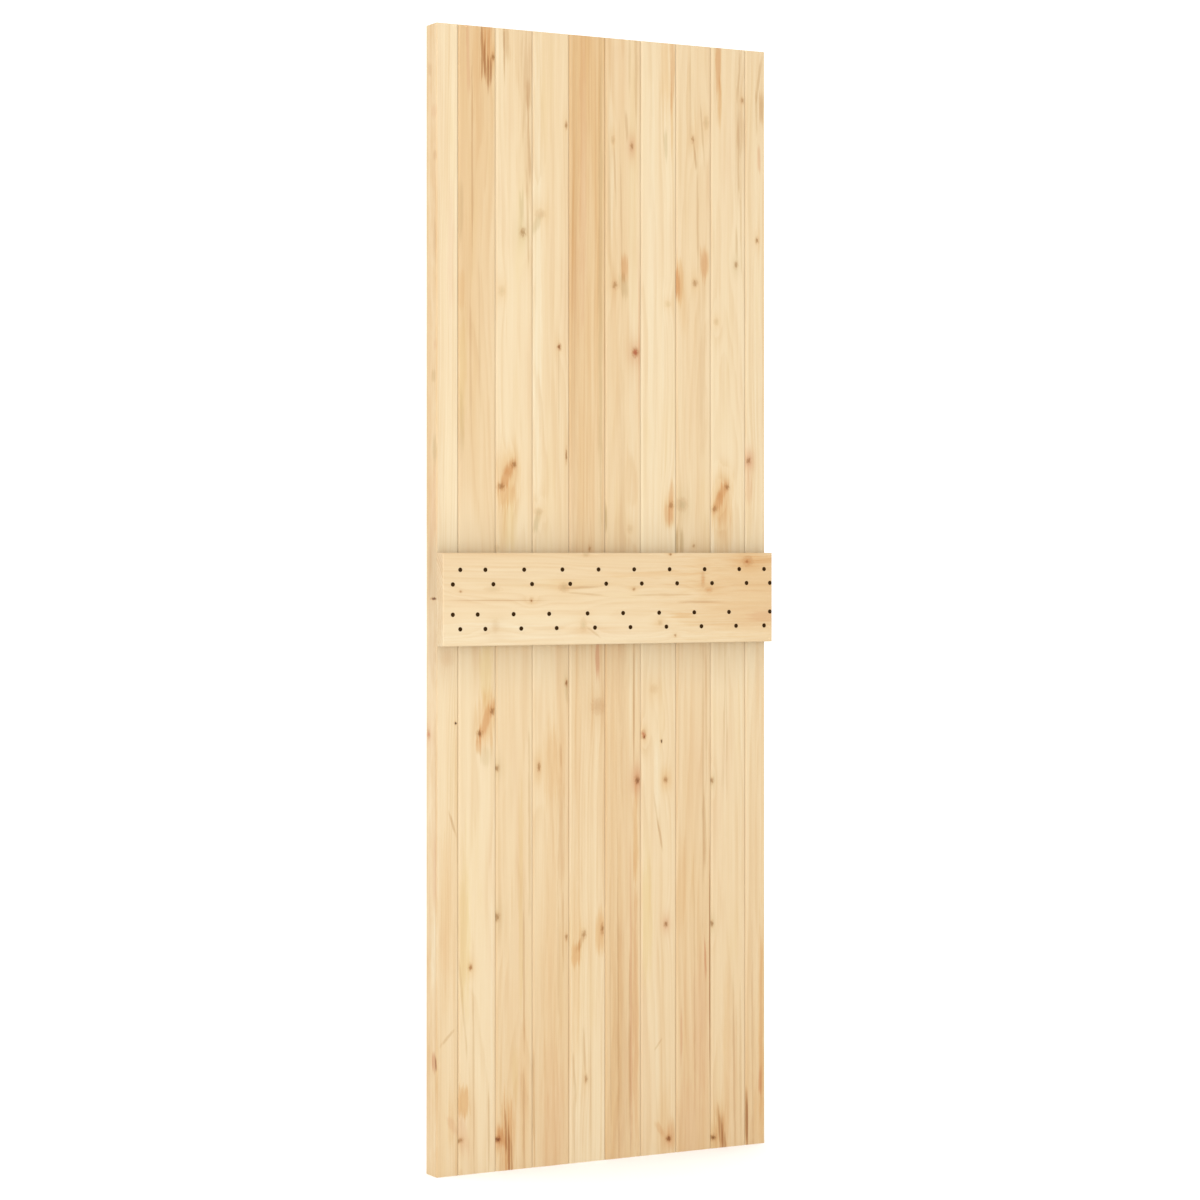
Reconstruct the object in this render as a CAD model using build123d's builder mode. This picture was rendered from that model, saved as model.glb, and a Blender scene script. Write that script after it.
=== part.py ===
from build123d import *
import math
import os

os.makedirs("parts", exist_ok=True)

# Sliding door leaf of upright pine boards, held together by one crosspiece.
# Sizes are in millimetres. X runs along the width, the front faces -Y and Z is up.
# The origin is the middle of the top edge, where the leaf hangs.

# Boards, each as long as the leaf is high
leaf_height = 2100
board_thickness = 44
full_board_count = 8
full_board_cover = 76.5
edge_board_cover = 44
side_arris = 1.5

# Tongue, groove and V of the joint between two boards
v_joint = 2
tongue_thickness = 12
tongue_length = 9
tongue_arris = 1.5
tongue_side_clearance = 0.2
tongue_tip_clearance = 1

# Crosspiece, planted on the front across every board
crosspiece_height = 170
crosspiece_thickness = 27
crosspiece_middle_height = 1051
crosspiece_arris = 1.5

# Countersunk wood screw, drawn with few sides
screw_sides = 16
screw_length = 50
shank_diameter = 4
head_diameter = 8
head_angle = 90
head_rim = 0.2
head_sink = 0.1
point_length = 5
point_diameter = 0.8
shank_clearance = 0.25
pilot_clearance = 0.05
pilot_tip_clearance = 1
cut_margin = 1

# Screw rows, measured up and down from the middle line of the crosspiece
inner_row_distance = 27.5
outer_row_distance = 54

# Places of the screws on a full board, measured from the board's middle
upper_outer_offset = 8.7
upper_inner_offset = 25
lower_inner_offset = -14
lower_outer_offset = 1.7

# How far the hand-set screws of the first full boards stray from those places
upper_strays = [-5, -2, 1, 0.5, 0, 0, 0, 0]
lower_strays = [2, -1, -4, 0, -1, 0, 0, 0]

# Screws of the edge boards: on the left from the board's joint, on the right from the leaf's side
left_outer_from_joint = 9
left_inner_from_joint = 24
right_outer_from_side = 18
right_inner_from_side = 5

# Sizes that follow
board_count = full_board_count + 2
leaf_width = full_board_count * full_board_cover + 2 * edge_board_cover
crosspiece_middle = crosspiece_middle_height - leaf_height
groove_width = tongue_thickness + 2 * tongue_side_clearance
groove_depth = tongue_length + tongue_tip_clearance
head_radius = head_diameter / 2
shank_radius = shank_diameter / 2
cone_slope = math.tan(math.radians(head_angle / 2))
cone_depth = (head_radius - shank_radius) / cone_slope
passage_radius = shank_radius + shank_clearance
seat_radius = head_radius + (head_sink + head_rim) * cone_slope
seat_depth = (seat_radius - passage_radius) / cone_slope
pilot_depth = screw_length + head_sink - crosspiece_thickness + pilot_tip_clearance

board_front = Plane.XZ.offset(board_thickness / 2)
crosspiece_front = board_front.offset(crosspiece_thickness)

# Joint lines between the boards, from the left side of the leaf to the right side
board_lines = [-leaf_width / 2]
for board in range(board_count):
    on_edge = board in (0, board_count - 1)
    board_lines.append(board_lines[-1] + (edge_board_cover if on_edge else full_board_cover))


def screw_row(rise, offset, strays, from_joint, from_side):
    # One screw in each board, as X and Z on the front
    row = [(board_lines[1] - from_joint, crosspiece_middle + rise)]
    for board in range(1, board_count - 1):
        middle = (board_lines[board] + board_lines[board + 1]) / 2
        stray = strays[(board - 1) % len(strays)]
        row.append((middle + offset + stray, crosspiece_middle + rise))
    row.append((board_lines[-1] - from_side, crosspiece_middle + rise))
    return row


outer_ends = (left_outer_from_joint, right_outer_from_side)
inner_ends = (left_inner_from_joint, right_inner_from_side)
screw_rows = [
    screw_row(outer_row_distance, upper_outer_offset, upper_strays, *outer_ends),
    screw_row(inner_row_distance, upper_inner_offset, upper_strays, *inner_ends),
    screw_row(-inner_row_distance, lower_inner_offset, lower_strays, *inner_ends),
    screw_row(-outer_row_distance, lower_outer_offset, lower_strays, *outer_ends),
]

# The four screws of each board, two above and two below the middle of the crosspiece
board_screws = list(zip(*screw_rows))

# Boards: a tongue on the right, a groove on the left, and plain sides at the edges of the leaf
for board in range(board_count):
    left = board_lines[board]
    right = board_lines[board + 1]
    has_groove = board > 0
    has_tongue = board < board_count - 1
    with BuildPart() as pine_board:
        with BuildSketch(Plane.XY.offset(-leaf_height)):
            with Locations(((left + right) / 2, 0)):
                Rectangle(right - left, board_thickness)
            left_corners = vertices().group_by(Axis.X)[0]
            right_corners = vertices().group_by(Axis.X)[-1]
            chamfer(left_corners, v_joint if has_groove else side_arris)
            chamfer(right_corners, v_joint if has_tongue else side_arris)
            if has_tongue:
                with Locations((right, 0)):
                    Rectangle(tongue_length, tongue_thickness, align=(Align.MIN, Align.CENTER))
                chamfer(vertices().group_by(Axis.X)[-1], tongue_arris)
            if has_groove:
                with Locations((left, 0)):
                    Rectangle(
                        groove_depth, groove_width,
                        align=(Align.MIN, Align.CENTER), mode=Mode.SUBTRACT)
        extrude(amount=leaf_height)
        # Blind pilot holes behind the crosspiece
        with BuildSketch(board_front):
            with Locations(*board_screws[board]):
                RegularPolygon(shank_radius + pilot_clearance, screw_sides, major_radius=False)
        extrude(amount=-pilot_depth, mode=Mode.SUBTRACT)
    name = f"board_{board + 1:02d}"
    pine_board.part.label = name
    export_step(pine_board.part, f"parts/{name}.step")

# The hole for one screw in the crosspiece: a clear passage under a countersunk seat
with BuildPart() as screw_hole:
    with BuildSketch(Plane.XY.offset(cut_margin)):
        RegularPolygon(seat_radius, screw_sides, major_radius=False)
    extrude(amount=-cut_margin - seat_depth)
    seat_foot = faces().sort_by(Axis.Z)[0]
    chamfer(seat_foot.edges(), seat_radius - passage_radius, seat_depth, reference=seat_foot)
    with BuildSketch(Plane.XY.offset(-seat_depth)):
        RegularPolygon(passage_radius, screw_sides, major_radius=False)
    extrude(amount=seat_depth - crosspiece_thickness)

# Crosspiece: one plank on its edge, with eased front arrises and a countersunk hole at every screw
with BuildPart() as crosspiece:
    with BuildSketch(board_front):
        with Locations((0, crosspiece_middle)):
            Rectangle(leaf_width, crosspiece_height)
    extrude(amount=crosspiece_thickness)
    chamfer(faces().sort_by(Axis.Y)[0].edges(), crosspiece_arris)
    with Locations(crosspiece_front):
        with Locations(*[point for row in screw_rows for point in row]):
            add(screw_hole.part, mode=Mode.SUBTRACT)
crosspiece.part.label = "crosspiece"
export_step(crosspiece.part, "parts/crosspiece.step")

# One screw, with the flat of its head at the origin and its point down
with BuildPart() as wood_screw:
    with BuildSketch():
        RegularPolygon(head_radius, screw_sides, major_radius=False)
    extrude(amount=-head_rim - cone_depth)
    head_foot = faces().sort_by(Axis.Z)[0]
    chamfer(head_foot.edges(), head_radius - shank_radius, cone_depth, reference=head_foot)
    with BuildSketch(Plane.XY.offset(-head_rim - cone_depth)):
        RegularPolygon(shank_radius, screw_sides, major_radius=False)
    extrude(amount=head_rim + cone_depth - screw_length)
    shank_foot = faces().sort_by(Axis.Z)[0]
    chamfer(shank_foot.edges(), shank_radius - point_diameter / 2, point_length, reference=shank_foot)

# The four screws of each board, each head just under the face of the crosspiece
for board in range(board_count):
    with BuildPart() as screws:
        with Locations(crosspiece_front.offset(-head_sink)):
            with Locations(*board_screws[board]):
                add(wood_screw.part)
    name = f"screws_board_{board + 1:02d}"
    screws.part.label = name
    export_step(screws.part, f"parts/{name}.step")
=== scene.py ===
import math

import bpy
import numpy as np
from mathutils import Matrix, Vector


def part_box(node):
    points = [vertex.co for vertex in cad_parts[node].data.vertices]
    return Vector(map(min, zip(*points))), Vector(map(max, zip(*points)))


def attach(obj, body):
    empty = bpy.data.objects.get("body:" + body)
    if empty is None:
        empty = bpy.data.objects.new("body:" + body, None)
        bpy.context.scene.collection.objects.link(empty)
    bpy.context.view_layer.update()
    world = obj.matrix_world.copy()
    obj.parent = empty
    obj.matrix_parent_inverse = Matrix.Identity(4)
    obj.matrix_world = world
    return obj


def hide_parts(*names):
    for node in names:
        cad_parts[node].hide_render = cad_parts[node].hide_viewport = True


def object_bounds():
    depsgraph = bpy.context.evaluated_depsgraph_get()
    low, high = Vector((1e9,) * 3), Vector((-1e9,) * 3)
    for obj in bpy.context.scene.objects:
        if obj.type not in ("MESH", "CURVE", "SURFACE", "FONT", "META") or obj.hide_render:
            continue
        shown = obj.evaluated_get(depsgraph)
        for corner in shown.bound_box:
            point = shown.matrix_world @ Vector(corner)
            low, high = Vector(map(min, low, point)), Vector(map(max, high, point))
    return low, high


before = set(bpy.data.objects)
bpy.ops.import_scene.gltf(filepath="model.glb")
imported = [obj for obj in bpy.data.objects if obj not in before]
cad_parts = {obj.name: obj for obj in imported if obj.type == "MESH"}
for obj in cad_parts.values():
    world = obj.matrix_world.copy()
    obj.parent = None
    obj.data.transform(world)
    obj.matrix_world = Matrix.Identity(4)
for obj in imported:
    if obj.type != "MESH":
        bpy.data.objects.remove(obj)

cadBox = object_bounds()
leafLow, leafHigh = cadBox
boardNames = sorted(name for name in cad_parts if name.startswith("board_"))
screwNames = sorted(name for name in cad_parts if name.startswith("screws_board_"))
boardLines = [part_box(name)[0].x for name in boardNames] + [leafHigh.x]  # joints, left to right
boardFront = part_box(boardNames[0])[0].y
crosspieceLow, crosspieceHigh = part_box("crosspiece")
crosspieceFront = crosspieceLow.y
crosspieceMiddle = (crosspieceLow.z + crosspieceHigh.z) / 2
print("1 frame:", len(boardNames), "boards,", len(screwNames), "sets of screws")


# The camera of the photograph. Marks in the wood are placed through it, by their pixels.
photoCamera = {
    "place": (-2.8054, -5.1337, -0.967),  # metres, from the middle of the leaf's top edge
    "turn": 28.67,  # degrees from square on, towards the right
    "focalPixels": 3116,
    "imagePixels": 1200,
    "aheadX": 600.5,  # where straight ahead falls in the image
    "aheadY": 554.4,
    "sensor": 36,  # millimetres
}


def makeCamera(values):
    half = values["imagePixels"] / 2
    data = bpy.data.cameras.new("photoCamera")
    data.sensor_width = values["sensor"]
    data.lens = values["sensor"] * values["focalPixels"] / values["imagePixels"]
    data.shift_x = (half - values["aheadX"]) / values["imagePixels"]
    data.shift_y = (values["aheadY"] - half) / values["imagePixels"]
    data.clip_end = 100
    camera = bpy.data.objects.new("photoCamera", data)
    camera.location = values["place"]
    camera.rotation_euler = (math.radians(90), 0, -math.radians(values["turn"]))
    bpy.context.scene.collection.objects.link(camera)
    bpy.context.scene.camera = camera


def seenAt(photoX, photoY, axis, plane):
    # The point where the line of sight through a pixel meets the plane where that axis has that value
    turn = math.radians(photoCamera["turn"])
    ahead = Vector((math.sin(turn), math.cos(turn), 0))
    right = Vector((math.cos(turn), -math.sin(turn), 0))
    sideways = (photoX - photoCamera["aheadX"]) / photoCamera["focalPixels"]
    upwards = (photoCamera["aheadY"] - photoY) / photoCamera["focalPixels"]
    sight = ahead + right * sideways + Vector((0, 0, upwards))
    place = Vector(photoCamera["place"])
    return place + sight * (plane - place[axis]) / sight[axis]


makeCamera(photoCamera)
print("2 camera")


# Short ways of writing shader nodes. A value is a number, a vector, a colour or another node's output, and a
# new node goes into the tree of the outputs among its values.
def isSocket(value):
    return isinstance(value, bpy.types.NodeSocket)


def plug(value, socket):
    if isSocket(value):
        socket.id_data.links.new(value, socket)
    else:
        socket.default_value = value


def addNode(kind, inputs, **settings):
    tree = next(value.id_data for value in inputs.values() if isSocket(value))
    made = tree.nodes.new("ShaderNode" + kind)
    for name, value in settings.items():
        setattr(made, name, value)
    for name, value in inputs.items():
        plug(value, made.inputs[name])
    return made


def calc(operation, *values):
    return addNode("Math", dict(enumerate(values)), operation=operation).outputs[0]


def plus(first, second):
    return calc("ADD", first, second)


def minus(first, second):
    return calc("SUBTRACT", first, second)


def times(first, second):
    return calc("MULTIPLY", first, second)


def timesPlus(first, second, added):
    # first * second + added
    return calc("MULTIPLY_ADD", first, second, added)


def between(share, first, second):
    # first where the share is 0, second where it is 1
    return timesPlus(minus(second, first), share, first)


def ramp(value, low, high, start=0, end=1):
    # A soft step: start below low, end above high
    inputs = {"Value": value, "From Min": low, "From Max": high, "To Min": start, "To Max": end}
    return addNode("MapRange", inputs, interpolation_type="SMOOTHSTEP").outputs["Result"]


def split(vector):
    return addNode("SeparateXYZ", {"Vector": vector}).outputs


def joined(x, y=0, z=0):
    return addNode("CombineXYZ", {"X": x, "Y": y, "Z": z}).outputs[0]


def vectorCalc(operation, first, second):
    return addNode("VectorMath", {0: first, 1: second}, operation=operation).outputs[0]


def stretched(point, scale, shift=(0, 0, 0)):
    return addNode("Mapping", {"Vector": point, "Location": shift, "Scale": scale}).outputs[0]


def noiseOf(point, scale=1, detail=2, roughness=0.5):
    inputs = {"Vector": point, "Scale": scale, "Detail": detail, "Roughness": roughness}
    return addNode("TexNoise", inputs).outputs


def grey(value):
    return addNode("CombineColor", {0: value, 1: value, 2: value}).outputs[0]


def mixColours(share, first, second, blend="MIX"):
    inputs = {0: share, 6: first, 7: second}
    return addNode("Mix", inputs, data_type="RGBA", blend_type=blend).outputs[2]


def newGroup(name, vectors, floats, outputs):
    # A group whose inputs are vectors and floats and whose outputs are floats
    tree = bpy.data.node_groups.new(name, "ShaderNodeTree")
    for label in vectors:
        tree.interface.new_socket(label, in_out="INPUT", socket_type="NodeSocketVector")
    for label in floats:
        tree.interface.new_socket(label, in_out="INPUT", socket_type="NodeSocketFloat")
    for label in outputs:
        tree.interface.new_socket(label, in_out="OUTPUT", socket_type="NodeSocketFloat")
    return tree, tree.nodes.new("NodeGroupInput").outputs, tree.nodes.new("NodeGroupOutput").inputs


def useGroup(group, inputs):
    return addNode("Group", inputs, node_tree=group).outputs


def newMaterial(name):
    # An empty material, and the object coordinates in it
    material = bpy.data.materials.new(name)
    material.use_nodes = True
    tree = material.node_tree
    tree.nodes.clear()
    return material, tree.nodes.new("ShaderNodeTexCoord").outputs["Object"]


def finishMaterial(inputs):
    shader = addNode("BsdfPrincipled", inputs)
    plug(shader.outputs[0], shader.id_data.nodes.new("ShaderNodeOutputMaterial").inputs[0])


def giveMaterial(piece, material):
    piece.data.materials.clear()
    piece.data.materials.append(material)


# All the wood groups take a point as (across the plank, depth behind its face, along the grain), in metres.
# Every "grain" below is a noise's waves a metre, in that order.

# Growth rings: circles round the log's pith, which wanders along the plank and tapers
ringValues = {
    "pithGrain": (9, 9, 1.4),  # how fast the pith wanders
    "raggedGrain": (120, 120, 6), "ragged": 0.003,  # small waves of every ring, metres
    "yearGrain": 60, "years": 3,  # wide and narrow years follow each other without order
    "bandGrain": (80, 0.6), "bandSeed": 3.7,  # broad bands, out from the pith and along
    "lateStarts": (0.15, 0.85), "lateEnds": (0.86, 1),  # shares of a year
}


def ringGroup(values):
    tree, given, result = newGroup("growthRings", ["Point"], [
        "pithAcross", "pithDepth", "taper", "ringWidth", "wander", "swirl", "seed"], ["Late", "Band"])
    seed = given["seed"]
    seeded = vectorCalc("ADD", given["Point"], joined(seed, seed, seed))
    bend = split(noiseOf(stretched(seeded, values["pithGrain"]))["Color"])
    parts = split(given["Point"])
    square = 0
    for number, pith in enumerate(("pithAcross", "pithDepth")):
        wander = times(minus(bend[number], 0.5), given["wander"])
        side = plus(minus(parts[number], given[pith]), wander)
        square = timesPlus(side, side, square)
    radius = timesPlus(parts[2], given["taper"], calc("SQRT", square))
    radius = plus(radius, given["swirl"])
    ragged = noiseOf(stretched(seeded, values["raggedGrain"]), detail=3)["Fac"]
    radius = timesPlus(ragged, values["ragged"], radius)
    uneven = noiseOf(joined(times(radius, values["yearGrain"]), seed))["Fac"]
    years = calc("DIVIDE", radius, given["ringWidth"])
    season = calc("FRACT", timesPlus(uneven, values["years"], years))
    late = times(ramp(season, *values["lateStarts"]), ramp(season, *values["lateEnds"], 1, 0))
    plug(late, result["Late"])
    bandOut, bandAlong = values["bandGrain"]
    bandPoint = joined(times(radius, bandOut), plus(seed, values["bandSeed"]),
                       times(parts[2], bandAlong))
    plug(noiseOf(bandPoint, detail=3)["Fac"], result["Band"])
    return tree


# A branch that runs through the plank from its face, a little aslant: an oval with a ragged rim.
# Its parts begin and end at these shares of the oval's radius.
knotValues = {
    "raggedGrain": (300, 120, 190), "ragged": 1.6, "lean": 0.15,
    "core": (0.25, 0.95), "rimStarts": (0.4, 0.85), "rimEnds": (0.85, 1.6),
    "rimShare": 0.4, "coreShare": 0.85,  # of the knot's darkness
    "falls": {"Halo": (0.22, 0.11), "Swirl": (0.1, 0.018)},  # how fast they thin out, across and along
}


def knotGroup(values):
    tree, given, result = newGroup(
        "branchKnot", ["Point", "Centre"], ["Half Across", "Half Along", "Lean", "Ragged"],
        ["Core", "Rim", "Halo", "Swirl"])
    parts = split(vectorCalc("SUBTRACT", given["Point"], given["Centre"]))
    across = calc("DIVIDE", parts[0], given["Half Across"])
    leaning = timesPlus(parts[1], given["Lean"], parts[2])
    along = calc("DIVIDE", leaning, given["Half Along"])
    acrossSquare = times(across, across)
    alongSquare = times(along, along)
    oval = calc("SQRT", plus(acrossSquare, alongSquare))
    oval = timesPlus(given["Ragged"], values["ragged"], oval)
    plug(ramp(oval, *values["core"], 1, 0), result["Core"])
    rim = times(ramp(oval, *values["rimStarts"]), ramp(oval, *values["rimEnds"], 1, 0))
    plug(rim, result["Rim"])
    for label, (acrossShare, alongShare) in values["falls"].items():
        fall = timesPlus(acrossSquare, acrossShare, times(alongSquare, alongShare))
        plug(calc("POWER", math.e, times(fall, -1)), result[label])
    return tree


# A soft patch along the grain with frayed ends, for resin streaks, stains and coloured bands
streakValues = {
    "power": 2.6,  # 2 would make it an oval, more makes it squarer
    "edge": 0.9, "softness": 0.6,  # shares of its radius
    "raggedGrain": (260, 60, 14), "fray": 2,
    "lineGrain": (230, 60, 6), "lines": (0.42, 0.58),  # the fine lines of a torn patch
}


def streakGroup(values):
    tree, given, result = newGroup("streak", ["Point", "Centre"], [
        "Half Across", "Half Along", "Slant", "Fray", "Softness", "Ragged", "Lines"], ["Mask"])
    parts = split(vectorCalc("SUBTRACT", given["Point"], given["Centre"]))
    aside = minus(parts[0], times(parts[2], given["Slant"]))
    oval = 0
    for offset, half in ((aside, "Half Across"), (parts[2], "Half Along")):
        share = calc("ABSOLUTE", calc("DIVIDE", offset, given[half]))
        oval = plus(oval, calc("POWER", share, values["power"]))
    oval = calc("POWER", oval, 1 / values["power"])
    oval = timesPlus(given["Ragged"], given["Fray"], oval)
    soft = times(given["Softness"], values["softness"])
    inner, outer = minus(values["edge"], soft), plus(values["edge"], soft)
    plug(times(ramp(oval, inner, outer, 1, 0), given["Lines"]), result["Mask"])
    return tree


rings = ringGroup(ringValues)
knots = knotGroup(knotValues)
streaks = streakGroup(streakValues)


# Colours as they show in the photograph's light, 0 to 255. On pale wood, a mark at full strength has its
# own colour.
pineColours = {
    "pale": (252, 230, 190), "deep": (234, 194, 139), "late": (224, 184, 134),
    "core": (166, 126, 80), "rim": (222, 186, 140), "black": (70, 48, 26), "dark": (170, 122, 76),
    "resin": (230, 183, 130), "orange": (242, 206, 154), "red": (216, 156, 114), "blush": (245, 214, 174),
    "brown": (228, 195, 149), "olive": (219, 196, 150), "yellow": (246, 220, 167), "line": (222, 190, 144),
    "light": (255, 239, 204),
}
lightLevel = 1.7  # how much brighter the light makes a face that looks to the front


def seenColour(name):
    # The paint that shows as this colour under the scene's light
    screen = np.array(pineColours[name]) / 255
    linear = np.where(screen <= 0.04045, screen / 12.92, ((screen + 0.055) / 1.055) ** 2.4)
    return linear / lightLevel


def mixTone(tone):
    # Pale at tone 0 and deep at tone 1, and on past both in the same direction
    pale, deep = seenColour("pale"), seenColour("deep")
    channels = [timesPlus(tone, float(step), float(start)) for start, step in zip(pale, deep - pale)]
    return addNode("CombineColor", dict(enumerate(channels))).outputs[0]


def stain(colour, name, share):
    # Colours the wood as a pigment does: its ratio to pale wood, to the power of the share
    ratio = (*(seenColour(name) / seenColour("pale")), 1)
    factor = addNode("Gamma", {"Color": ratio, "Gamma": share}).outputs[0]
    return mixColours(1, colour, factor, "MULTIPLY")


def darkened(colour, mask, share):
    # The colour times share where the mask is 1
    return mixColours(1, colour, grey(timesPlus(mask, share - 1, 1)), "MULTIPLY")


# The textures of the wood: waves a metre across and along the grain
textureGrain = {
    "broad": (62, 2), "threads": (190, 2.6), "fibre": (800, 14), "warmth": (24, 2.6),
    "blotches": (70, 16),
}
figureValues = {
    "lined": (0.35, 0.65, 0.35, 1.45),  # stripes that show their fine lines, and others that don't
    "late": 0.7, "blush": (0.48, 0.8), "yellow": (0.46, 0.2),
    "palest": -0.3, "deepest": 2.2,
}


# The tone runs evenly between four heights: the top edge, above and below the crosspiece, and the foot
def toneDown(upright, tones):
    top, above, below, foot = tones
    tone = float(foot)
    for low, high, step in ((leafLow.z, crosspieceLow.z, below - foot),
                            (crosspieceLow.z, crosspieceHigh.z, above - below),
                            (crosspieceHigh.z, leafHigh.z, top - above)):
        inputs = {"Value": upright, "From Min": low, "From Max": high}
        tone = timesPlus(addNode("MapRange", inputs).outputs["Result"], step, tone)
    return tone


# One plank's colour: its tone down the leaf, its rings and stripes, and fibres along the grain
def plankColour(plank, point, upright, across, swirl, onSide):
    lengths = {name: plank[name] / 1000 for name in ("pithAcross", "pithDepth", "ringWidth", "wander")}
    figure = useGroup(rings, {
        "Point": point, **lengths, "taper": plank["taper"], "swirl": swirl, "seed": plank["seed"]})
    seeded = stretched(point, (1, 1, 1), (plank["seed"], 0, plank["seed"] * 2))
    textures = {"bands": figure["Band"]}
    for label, (acrossGrain, alongGrain) in textureGrain.items():
        fine = stretched(seeded, (acrossGrain, acrossGrain, alongGrain))
        textures[label] = noiseOf(fine, detail=3, roughness=0.6)["Fac"]
    textures["blotches"] = between(onSide, 0.5, textures["blotches"])
    tone = toneDown(upright, plank["tones"])
    tone = timesPlus(across, plank["slope"] / plank["halfAcross"], tone)
    if plank["sideTones"]:
        tone = between(onSide, tone, toneDown(upright, plank["sideTones"]))
    lined = ramp(textures["broad"], *figureValues["lined"])
    for label in ("bands", "broad", "threads", "fibre", "blotches"):
        strength = times(lined, plank[label]) if label == "threads" else plank[label]
        tone = timesPlus(minus(textures[label], 0.5), strength, tone)
    limits = {"Value": tone, "Min": figureValues["palest"], "Max": figureValues["deepest"]}
    colour = mixTone(addNode("Clamp", limits).outputs[0])
    lateShare = times(figure["Late"], times(lined, plank["late"] * figureValues["late"]))
    colour = stain(colour, "late", lateShare)
    for name in ("blush", "yellow"):
        colour = stain(colour, name, ramp(textures["warmth"], *figureValues[name], 0, plank["warmth"]))
    return colour, figure["Late"], textures["fibre"]


# Marks are placed by pixels of the photograph, on the plank's face or, for side marks, on its left side
def markPlace(mark, pixel, plank):
    if mark["side"]:
        seen = seenAt(*mark[pixel], 0, leafLow.x)
        return Vector((seen.y - plank["faceY"], 0, seen.z))
    seen = seenAt(*mark[pixel], 1, plank["faceY"])
    across, along = (seen.z, seen.x) if plank["level"] else (seen.x, seen.z)
    return Vector((across - plank["middleAcross"], 0, along))


# The knots of a plank: their stains multiplied together, how far they push the rings aside, and their rims.
# A width in millimetres over 2000 is its half in metres.
def knotWork(plank, points, nearFace):
    stains, swirl, rims = (1, 1, 1, 1), 0, 0
    ragged = {}
    for side, point in points.items():
        rough = noiseOf(stretched(point, knotValues["raggedGrain"]), detail=3)["Fac"]
        ragged[side] = minus(rough, 0.5)
    for mark in plank["marks"]:
        if mark["kind"] != "knot":
            continue
        side, darkness = mark["side"], mark["dark"]
        sizes = [mark["wide"] / 2000, mark["high"] / 2000]
        halfAcross, halfAlong = reversed(sizes) if plank["level"] else sizes
        shape = useGroup(knots, {
            "Point": points[side], "Centre": markPlace(mark, "start", plank),
            "Half Across": halfAcross, "Half Along": halfAlong, "Lean": knotValues["lean"],
            "Ragged": ragged[side]})
        swirl = timesPlus(shape["Swirl"], mark["swirl"] / 1000, swirl)
        rims = timesPlus(shape["Rim"], darkness, rims)
        for label, name, strength in (("Halo", mark["around"], mark["halo"]),
                                      ("Rim", "rim", darkness * knotValues["rimShare"]),
                                      ("Core", mark["core"], darkness * knotValues["coreShare"])):
            share = times(shape[label], strength)
            if side:
                share = times(share, nearFace[True])
            stains = stain(stains, name, share)
    return stains, swirl, rims


def paintStreaks(plank, points, nearFace, colour):
    ragged, lines = {}, {}
    for side, point in points.items():
        roughPoint = stretched(point, streakValues["raggedGrain"])
        ragged[side] = minus(noiseOf(roughPoint, detail=3, roughness=0.6)["Fac"], 0.5)
        fine = noiseOf(stretched(point, streakValues["lineGrain"]))["Fac"]
        lines[side] = ramp(fine, *streakValues["lines"])
    for mark in plank["marks"]:
        if mark["kind"] == "knot":
            continue
        side = mark["side"]
        first = markPlace(mark, "start", plank)
        last = markPlace(mark, "end", plank)
        run = last - first
        mask = useGroup(streaks, {
            "Point": points[side], "Centre": (first + last) / 2, "Half Across": mark["wide"] / 2000,
            "Half Along": abs(run.z) / 2, "Slant": run.x / run.z, "Softness": mark["soft"],
            "Fray": mark["fray"] * streakValues["fray"], "Ragged": ragged[side],
            "Lines": between(mark["torn"], 1, lines[side]) if mark["torn"] else 1})["Mask"]
        share = times(times(mask, nearFace[side]), mark["strength"])
        colour = stain(colour, mark["kind"], share)
    return colour


# At a joint, painted shade darkens the left board's edge and the bottom of the V at the right board's edge,
# and a painted highlight lightens the right board's edge beside it. Widths are in metres.
jointShadeAndHighlight = {
    "shadeShare": 0.88, "shadeEnds": (0.00184, 0.0046), "gapShadeEnds": (0, 0.001),
    "highlightShare": 1.05, "highlightStarts": (0.001, 0.002), "highlightEnds": (0.0036, 0.0054),
    "alongGrain": 5, "uneven": (0.3, 0.7, 0.4, 1),  # how its strength changes down the leaf
    "low": 0.6,  # its strength below the crosspiece
}


def paintJointShadeAndHighlight(plank, across, along, colour):
    shadeShare = jointShadeAndHighlight["shadeShare"]
    uneven = noiseOf(joined(times(along, jointShadeAndHighlight["alongGrain"])))["Fac"]
    fainter = ramp(along, crosspieceLow.z, crosspieceHigh.z, jointShadeAndHighlight["low"], 1)
    strength = times(ramp(uneven, *jointShadeAndHighlight["uneven"]), fainter)
    hasLeft, hasRight = plank["joints"]
    if hasRight:
        away = minus(plank["halfAcross"], across)
        # painted shade on the left board's side of the joint
        edge = ramp(away, *jointShadeAndHighlight["shadeEnds"], 1, 0)
        colour = darkened(colour, times(edge, strength), shadeShare)
    if hasLeft:
        away = plus(plank["halfAcross"], across)
        # a painted highlight on the right board's side of the joint
        highlight = times(ramp(away, *jointShadeAndHighlight["highlightStarts"]),
                    ramp(away, *jointShadeAndHighlight["highlightEnds"], 1, 0))
        colour = darkened(colour, highlight, jointShadeAndHighlight["highlightShare"])
        # painted shade at the bottom of the joint
        deep = ramp(away, *jointShadeAndHighlight["gapShadeEnds"], 1, 0)
        colour = darkened(colour, times(deep, strength), shadeShare)
    return colour


# End grain is duller than the face and shows its rings more strongly
endPaint = {
    "starts": 0.0006, "full": 0.0002,  # metres from the end
    "rings": 0.4, "poreGrain": 1500, "pores": (0.35, 0.65), "poreShade": 0.93,
}


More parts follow.
